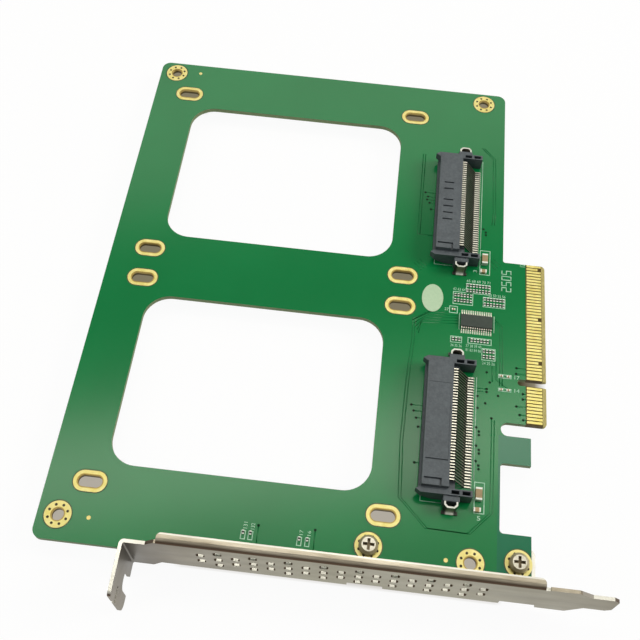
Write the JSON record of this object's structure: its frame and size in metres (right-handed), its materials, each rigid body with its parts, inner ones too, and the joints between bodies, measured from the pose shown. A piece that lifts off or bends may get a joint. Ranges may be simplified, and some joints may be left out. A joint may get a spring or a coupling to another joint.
{
  "type": "drive adapter card",
  "caption": "Flat circuit board with two drive windows, a right-angle receptacle beside each, an edge connector and a folded, vented slot bracket.",
  "frame": {"origin": "middle of the outline, at the height of the lowest edge of the bracket's screw tab", "axes": "+Z out of the component side of the board, +X from the drive windows to the edge connector, +Y from the bracket to the far end"},
  "size_m": [0.145, 0.1764, 0.0216],
  "materials": {
    "board": "semi-gloss green mask over laminate",
    "bracket": "satin plated sheet",
    "ceramic_dark": "matt ceramic",
    "ceramic_tan": "matt ceramic",
    "chip": "matt moulded",
    "gold": "thin bright plating",
    "housing": "matt moulded",
    "label": "matt film",
    "screw": "bright plated",
    "tin": "bright tinned metal"
  },
  "bodies": {
    "root": {"board": "board", "bracket_screws": "screw", "chip_body": "chip", "chip_leads": "tin", "corner_hole_lands": "gold", "drive_slot_lands": "gold", "edge_pins_bottom": "gold", "edge_pins_top": "gold", "inspection_sticker": "label", "lone_capacitor_ends": "tin", "lone_capacitors": "ceramic_tan", "lower_blades": "gold", "lower_capacitor_ends": "tin", "lower_capacitors": "ceramic_tan", "lower_clips": "tin", "lower_contacts": "tin", "lower_housing": "housing", "resistors_by_bracket": "ceramic_dark", "resistors_by_bracket_ends": "tin", "resistors_by_chip": "ceramic_dark", "resistors_by_chip_ends": "tin", "resistors_by_drive": "ceramic_dark", "resistors_by_drive_ends": "tin", "resistors_by_edge": "ceramic_dark", "resistors_by_edge_ends": "tin", "screw_lands": "gold", "slot_bracket": "bracket", "upper_blades": "gold", "upper_capacitor_ends": "tin", "upper_capacitors": "ceramic_tan", "upper_clips": "tin", "upper_contacts": "tin", "upper_housing": "housing"}
  },
  "joints": []
}
